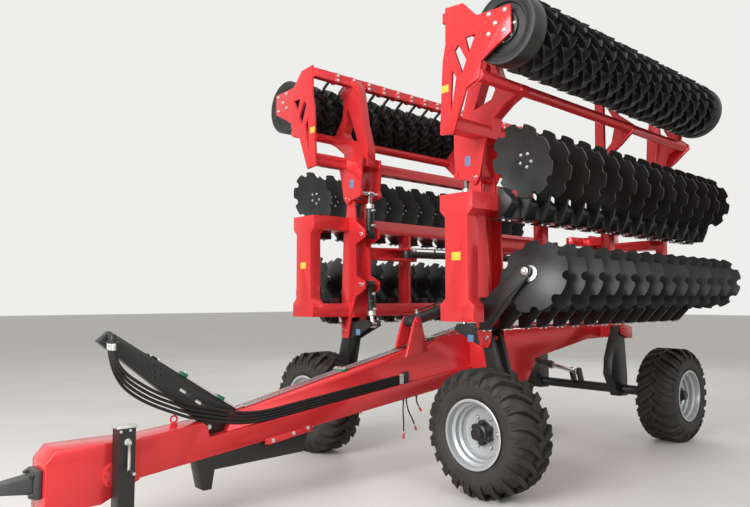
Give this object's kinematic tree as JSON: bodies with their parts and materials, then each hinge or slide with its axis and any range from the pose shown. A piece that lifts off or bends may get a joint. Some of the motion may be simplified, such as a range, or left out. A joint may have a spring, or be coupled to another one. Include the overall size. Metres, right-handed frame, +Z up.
{
  "type": "folding trailed disc harrow",
  "caption": "Trailed folding disc harrow in its transport fold: long drawbar, rear axle, folded wings with notched discs, packer rollers, wing wheels and hydraulic cylinders.",
  "frame": {"origin": "on the floor, under the middle of the machine's length and width", "axes": "+X forwards to the hitch, +Y to the left, +Z up"},
  "size_m": [6.7553, 3.224, 3.645],
  "materials": {
    "red_paint": "gloss",
    "black_paint": "satin",
    "disc_steel": "satin",
    "bright_steel": "polished",
    "rim_silver": "satin",
    "tyre": "matt",
    "hose": "satin"
  },
  "bodies": {
    "chassis": {"drawbar": "red_paint", "hitch_eye": "black_paint", "main_frame": "red_paint", "hose_holder": "black_paint", "pipes": "bright_steel", "tool_stand": "black_paint", "jack_body": "black_paint", "hose_1": "hose", "hose_2": "hose", "hose_3": "hose", "hose_4": "hose", "hose_tail_1": "hose", "hose_tail_2": "hose", "hose_tail_3": "hose", "hose_caps": "red_paint"},
    "jack": {"jack_leg": "bright_steel"},
    "rear_axle": {"axle_frame": "black_paint"},
    "rear_wheel_left": {"tyre_rear_left": "tyre", "rim_rear_left": "rim_silver"},
    "rear_wheel_right": {"tyre_rear_right": "tyre", "rim_rear_right": "rim_silver"},
    "tilt": {"tilt_frame": "red_paint"},
    "tilt_cylinder": {"tilt_barrel": "black_paint"},
    "tilt_piston": {"tilt_rod": "bright_steel"},
    "axle_cylinder": {"axle_barrel": "black_paint"},
    "axle_piston": {"axle_rod": "bright_steel"},
    "wing_left": {"wing_frame_left": "red_paint", "disc_arms_left": "black_paint", "discs_left": "disc_steel"},
    "wheel_arm_body_left": {"wheel_arm_left": "black_paint"},
    "wing_wheel_left": {"tyre_wing_left": "tyre", "rim_wing_left": "rim_silver"},
    "roller_frame_body_left": {"roller_frame_left": "red_paint"},
    "roller_body_left": {"roller_left": "black_paint"},
    "fold_left_cylinder": {"fold_barrel_left": "black_paint"},
    "fold_left_piston": {"fold_rod_left": "bright_steel"},
    "lift_left_cylinder": {"lift_barrel_left": "black_paint"},
    "lift_left_piston": {"lift_rod_left": "bright_steel"},
    "depth_left_cylinder": {"depth_barrel_left": "black_paint"},
    "depth_left_piston": {"depth_rod_left": "bright_steel"},
    "wing_right": {"wing_frame_right": "red_paint", "disc_arms_right": "black_paint", "discs_right": "disc_steel"},
    "wheel_arm_body_right": {"wheel_arm_right": "black_paint"},
    "wing_wheel_right": {"tyre_wing_right": "tyre", "rim_wing_right": "rim_silver"},
    "roller_frame_body_right": {"roller_frame_right": "red_paint"},
    "roller_body_right": {"roller_right": "black_paint"},
    "fold_right_cylinder": {"fold_barrel_right": "black_paint"},
    "fold_right_piston": {"fold_rod_right": "bright_steel"},
    "lift_right_cylinder": {"lift_barrel_right": "black_paint"},
    "lift_right_piston": {"lift_rod_right": "bright_steel"},
    "depth_right_cylinder": {"depth_barrel_right": "black_paint"},
    "depth_right_piston": {"depth_rod_right": "bright_steel"}
  },
  "joints": [
    {"name": "jack_travel", "type": "slide", "parent": "chassis", "child": "jack", "axis": [0, 0, 1], "range_m": [0, 0.16]},
    {"name": "axle_lift", "type": "hinge", "parent": "chassis", "child": "rear_axle", "pos_m": [-2.69765, 0, 1.1], "axis": [0, -1, 0], "range_deg": [0, 50]},
    {"name": "rear_wheel_left_turn", "type": "hinge", "parent": "rear_axle", "child": "rear_wheel_left", "pos_m": [-2.71865, 1.057, 0.465], "axis": [0, 1, 0], "continuous": true},
    {"name": "rear_wheel_right_turn", "type": "hinge", "parent": "rear_axle", "child": "rear_wheel_right", "pos_m": [-2.71865, -1.057, 0.465], "axis": [0, 1, 0], "continuous": true},
    {"name": "tilt_up", "type": "hinge", "parent": "chassis", "child": "tilt", "pos_m": [-3.30765, 0, 1.22], "axis": [0, -1, 0], "range_deg": [0, 90]},
    {"name": "tilt_swing", "type": "hinge", "parent": "chassis", "child": "tilt_cylinder", "pos_m": [0.00235, 0, 1.24], "axis": [0, -1, 0], "range_deg": [-0.05, 12.15]},
    {"name": "tilt_stroke", "type": "slide", "parent": "tilt_cylinder", "child": "tilt_piston", "axis": [-0.9729, 0, 0.2311], "range_m": [-0.0005, 0.80248]},
    {"name": "axle_swing", "type": "hinge", "parent": "chassis", "child": "axle_cylinder", "pos_m": [-1.59765, 0, 0.85], "axis": [0, -1, 0], "range_deg": [-10.75, 0.05]},
    {"name": "axle_stroke", "type": "slide", "parent": "axle_cylinder", "child": "axle_piston", "axis": [-0.9768, 0, -0.214], "range_m": [-0.37494, 0.0005]},
    {"name": "fold_out_left", "type": "hinge", "parent": "tilt", "child": "wing_left", "pos_m": [-3.02765, 0.245, 1.48], "axis": [0, 0, 1], "range_deg": [0, 90]},
    {"name": "wheel_lift_left", "type": "hinge", "parent": "wing_left", "child": "wheel_arm_body_left", "pos_m": [-0.04765, 0.849, 1.129], "axis": [1, 0, 0], "range_deg": [0, 35]},
    {"name": "wing_wheel_left_turn", "type": "hinge", "parent": "wheel_arm_body_left", "child": "wing_wheel_left", "pos_m": [0.23135, 1.012, 0.465], "axis": [1, 0, 0], "continuous": true},
    {"name": "roller_depth_left", "type": "hinge", "parent": "wing_left", "child": "roller_frame_body_left", "pos_m": [-0.04765, 0.775, 2.39], "axis": [-1, 0, 0], "range_deg": [-5, 12]},
    {"name": "roller_turn_left", "type": "hinge", "parent": "roller_frame_body_left", "child": "roller_body_left", "pos_m": [-1.14765, 1.34, 3.355], "axis": [1, 0, 0], "continuous": true},
    {"name": "fold_left_swing", "type": "hinge", "parent": "wing_left", "child": "fold_left_cylinder", "pos_m": [-0.54765, 0.6, 1.88], "axis": [0, 0, 1], "range_deg": [-0.232, 0.05]},
    {"name": "fold_left_stroke", "type": "slide", "parent": "fold_left_cylinder", "child": "fold_left_piston", "axis": [-0.9789, -0.2043, 0], "range_m": [-0.0005, 0.31032]},
    {"name": "lift_left_swing", "type": "hinge", "parent": "wing_left", "child": "lift_left_cylinder", "pos_m": [-0.04765, 0.6, 1.57], "axis": [1, 0, 0], "range_deg": [-0.05, 3.49]},
    {"name": "lift_left_stroke", "type": "slide", "parent": "lift_left_cylinder", "child": "lift_left_piston", "axis": [0, -0.1061, -0.9944], "range_m": [-0.0005, 0.17666]},
    {"name": "depth_left_swing", "type": "hinge", "parent": "wing_left", "child": "depth_left_cylinder", "pos_m": [-0.04765, 0.6, 2.05], "axis": [-1, 0, 0], "range_deg": [-0.85, 1.97]},
    {"name": "depth_left_stroke", "type": "slide", "parent": "depth_left_cylinder", "child": "depth_left_piston", "axis": [0, 0, 1], "range_m": [-0.0153, 0.03603]},
    {"name": "fold_out_right", "type": "hinge", "parent": "tilt", "child": "wing_right", "pos_m": [-3.02765, -0.245, 1.48], "axis": [0, 0, -1], "range_deg": [0, 90]},
    {"name": "wheel_lift_right", "type": "hinge", "parent": "wing_right", "child": "wheel_arm_body_right", "pos_m": [-0.04765, -0.849, 1.129], "axis": [-1, 0, 0], "range_deg": [0, 35]},
    {"name": "wing_wheel_right_turn", "type": "hinge", "parent": "wheel_arm_body_right", "child": "wing_wheel_right", "pos_m": [0.23135, -1.012, 0.465], "axis": [1, 0, 0], "continuous": true},
    {"name": "roller_depth_right", "type": "hinge", "parent": "wing_right", "child": "roller_frame_body_right", "pos_m": [-0.04765, -0.775, 2.39], "axis": [1, 0, 0], "range_deg": [-5, 12]},
    {"name": "roller_turn_right", "type": "hinge", "parent": "roller_frame_body_right", "child": "roller_body_right", "pos_m": [-1.14765, -1.34, 3.355], "axis": [1, 0, 0], "continuous": true},
    {"name": "fold_right_swing", "type": "hinge", "parent": "wing_right", "child": "fold_right_cylinder", "pos_m": [-0.54765, -0.6, 1.88], "axis": [0, 0, -1], "range_deg": [-0.232, 0.05]},
    {"name": "fold_right_stroke", "type": "slide", "parent": "fold_right_cylinder", "child": "fold_right_piston", "axis": [-0.9789, 0.2043, 0], "range_m": [-0.0005, 0.31032]},
    {"name": "lift_right_swing", "type": "hinge", "parent": "wing_right", "child": "lift_right_cylinder", "pos_m": [-0.04765, -0.6, 1.57], "axis": [-1, 0, 0], "range_deg": [-0.05, 3.49]},
    {"name": "lift_right_stroke", "type": "slide", "parent": "lift_right_cylinder", "child": "lift_right_piston", "axis": [0, 0.1061, -0.9944], "range_m": [-0.0005, 0.17666]},
    {"name": "depth_right_swing", "type": "hinge", "parent": "wing_right", "child": "depth_right_cylinder", "pos_m": [-0.04765, -0.6, 2.05], "axis": [1, 0, 0], "range_deg": [-0.85, 1.97]},
    {"name": "depth_right_stroke", "type": "slide", "parent": "depth_right_cylinder", "child": "depth_right_piston", "axis": [0, 0, 1], "range_m": [-0.0153, 0.03603]}
  ],
  "couplings": [
    {"joint": "tilt_swing", "follows": "tilt_up", "ratio": 0.13444},
    {"joint": "tilt_stroke", "follows": "tilt_up", "m_per_rad": 0.51055},
    {"joint": "axle_swing", "follows": "axle_lift", "ratio": -0.214},
    {"joint": "axle_stroke", "follows": "axle_lift", "m_per_rad": -0.42908},
    {"joint": "fold_left_swing", "follows": "fold_out_left", "ratio": -0.002028},
    {"joint": "fold_left_stroke", "follows": "fold_out_left", "m_per_rad": 0.19724},
    {"joint": "lift_left_swing", "follows": "wheel_lift_left", "ratio": 0.098215},
    {"joint": "lift_left_stroke", "follows": "wheel_lift_left", "m_per_rad": 0.28839},
    {"joint": "depth_left_swing", "follows": "roller_depth_left", "ratio": 0.15958},
    {"joint": "depth_left_stroke", "follows": "roller_depth_left", "m_per_rad": 0.16964},
    {"joint": "fold_right_swing", "follows": "fold_out_right", "ratio": -0.002028},
    {"joint": "fold_right_stroke", "follows": "fold_out_right", "m_per_rad": 0.19724},
    {"joint": "lift_right_swing", "follows": "wheel_lift_right", "ratio": 0.098215},
    {"joint": "lift_right_stroke", "follows": "wheel_lift_right", "m_per_rad": 0.28839},
    {"joint": "depth_right_swing", "follows": "roller_depth_right", "ratio": 0.15958},
    {"joint": "depth_right_stroke", "follows": "roller_depth_right", "m_per_rad": 0.16964}
  ]
}
